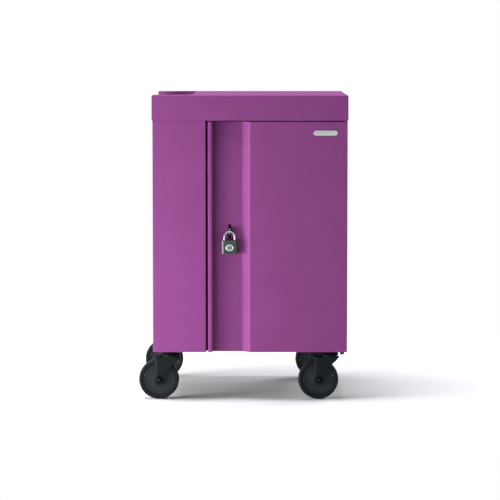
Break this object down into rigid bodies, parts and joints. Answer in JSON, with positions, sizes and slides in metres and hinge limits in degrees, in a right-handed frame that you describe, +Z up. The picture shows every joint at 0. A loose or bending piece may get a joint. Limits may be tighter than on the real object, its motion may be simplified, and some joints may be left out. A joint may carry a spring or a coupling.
{
  "type": "laptop charging cart",
  "caption": "Purple steel laptop charging cart on swivel casters, with a padlocked front door, hand well with push bar, divided device shelves and a rear power bay.",
  "frame": {"origin": "on the floor under the middle of the whole cart, casters included", "axes": "+X to the right as the front door is faced, +Y from the front door to the rear door, +Z up"},
  "size_m": [0.659, 0.596, 0.963],
  "materials": {
    "powder_coat": "fine texture",
    "zinc_steel": "zinc plated",
    "black_steel": "satin",
    "caster_steel": "satin",
    "tyre_rubber": "matte",
    "hub_plastic": "matte",
    "padlock_steel": "satin",
    "dark_plastic": "matte",
    "divider_plastic": "matte"
  },
  "bodies": {
    "cart": {"base_pan": "black_steel", "left_panel": "powder_coat", "right_panel": "powder_coat", "roof_panel": "powder_coat", "top_cap": "powder_coat", "push_bar": "powder_coat", "partition": "powder_coat", "lower_shelf": "powder_coat", "upper_shelf": "powder_coat", "divider_lower_1": "divider_plastic", "divider_lower_2": "divider_plastic", "divider_lower_3": "divider_plastic", "divider_lower_4": "divider_plastic", "divider_lower_5": "divider_plastic", "divider_lower_6": "divider_plastic", "divider_lower_7": "divider_plastic", "divider_upper_1": "divider_plastic", "divider_upper_2": "divider_plastic", "divider_upper_3": "divider_plastic", "divider_upper_4": "divider_plastic", "divider_upper_5": "divider_plastic", "divider_upper_6": "divider_plastic", "divider_upper_7": "divider_plastic", "adapter_shelf": "powder_coat", "rear_panel": "powder_coat", "power_strip": "dark_plastic", "power_inlet": "dark_plastic", "inlet_lead": "dark_plastic", "hinge_bracket_bottom": "black_steel", "hinge_bracket_top": "black_steel", "door_catch": "dark_plastic", "caster_front_left_stem": "caster_steel", "caster_front_right_stem": "caster_steel", "caster_rear_left_stem": "caster_steel", "caster_rear_right_stem": "caster_steel"},
    "door": {"front_door": "powder_coat", "door_stiffener": "powder_coat", "lock_eye": "black_steel"},
    "padlock_loop": {"padlock_shackle": "zinc_steel"},
    "padlock_case": {"padlock_body": "padlock_steel"},
    "padlock_key_plug": {"padlock_plug": "zinc_steel"},
    "back_door": {"rear_door": "powder_coat", "rear_lock_barrel": "zinc_steel"},
    "back_door_cam": {"rear_lock_cam": "zinc_steel"},
    "swivel_front_left": {"caster_front_left_fork": "caster_steel", "caster_front_left_axle": "caster_steel"},
    "wheel_front_left": {"caster_front_left_hub": "hub_plastic", "caster_front_left_tyre": "tyre_rubber"},
    "swivel_front_right": {"caster_front_right_fork": "caster_steel", "caster_front_right_axle": "caster_steel"},
    "wheel_front_right": {"caster_front_right_hub": "hub_plastic", "caster_front_right_tyre": "tyre_rubber"},
    "swivel_rear_left": {"caster_rear_left_fork": "caster_steel", "caster_rear_left_axle": "caster_steel"},
    "wheel_rear_left": {"caster_rear_left_hub": "hub_plastic", "caster_rear_left_tyre": "tyre_rubber"},
    "swivel_rear_right": {"caster_rear_right_fork": "caster_steel", "caster_rear_right_axle": "caster_steel"},
    "wheel_rear_right": {"caster_rear_right_hub": "hub_plastic", "caster_rear_right_tyre": "tyre_rubber"}
  },
  "joints": [
    {"name": "door_hinge", "type": "hinge", "parent": "cart", "child": "door", "pos_m": [0.3125, -0.283, 0.157], "axis": [0, 0, 1], "range_deg": [0, 180]},
    {"name": "rear_door_hinge", "type": "hinge", "parent": "cart", "child": "back_door", "pos_m": [-0.2612, 0.289, 0.262], "axis": [0, 0, 1], "range_deg": [0, 110]},
    {"name": "rear_lock_turn", "type": "hinge", "parent": "back_door", "child": "back_door_cam", "pos_m": [-0.1433, 0.28, 0.55105], "axis": [0, -1, 0], "range_deg": [0, 90]},
    {"name": "padlock_swing", "type": "hinge", "parent": "door", "child": "padlock_loop", "pos_m": [-0.0415, -0.2855, 0.5356], "axis": [-1, 0, 0], "range_deg": [0, 150]},
    {"name": "padlock_release", "type": "slide", "parent": "padlock_loop", "child": "padlock_case", "axis": [0, 0, -1], "range_m": [0, 0.012]},
    {"name": "padlock_key_turn", "type": "hinge", "parent": "padlock_case", "child": "padlock_key_plug", "pos_m": [-0.0415, -0.2855, 0.4656], "axis": [0, 0, 1], "range_deg": [0, 90]},
    {"name": "swivel_front_left_turn", "type": "hinge", "parent": "cart", "child": "swivel_front_left", "pos_m": [-0.23, -0.22865, 0.142], "axis": [0, 0, 1], "continuous": true},
    {"name": "wheel_front_left_roll", "type": "hinge", "parent": "swivel_front_left", "child": "wheel_front_left", "pos_m": [-0.266, -0.22865, 0.0635], "axis": [0, 1, 0], "continuous": true},
    {"name": "swivel_front_right_turn", "type": "hinge", "parent": "cart", "child": "swivel_front_right", "pos_m": [0.275, -0.22865, 0.142], "axis": [0, 0, 1], "continuous": true},
    {"name": "wheel_front_right_roll", "type": "hinge", "parent": "swivel_front_right", "child": "wheel_front_right", "pos_m": [0.239, -0.22865, 0.0635], "axis": [0, 1, 0], "continuous": true},
    {"name": "swivel_rear_left_turn", "type": "hinge", "parent": "cart", "child": "swivel_rear_left", "pos_m": [-0.23, 0.2627, 0.142], "axis": [0, 0, 1], "continuous": true},
    {"name": "wheel_rear_left_roll", "type": "hinge", "parent": "swivel_rear_left", "child": "wheel_rear_left", "pos_m": [-0.266, 0.2627, 0.0635], "axis": [0, 1, 0], "continuous": true},
    {"name": "swivel_rear_right_turn", "type": "hinge", "parent": "cart", "child": "swivel_rear_right", "pos_m": [0.275, 0.2627, 0.142], "axis": [0, 0, 1], "continuous": true},
    {"name": "wheel_rear_right_roll", "type": "hinge", "parent": "swivel_rear_right", "child": "wheel_rear_right", "pos_m": [0.239, 0.2627, 0.0635], "axis": [0, 1, 0], "continuous": true}
  ]
}
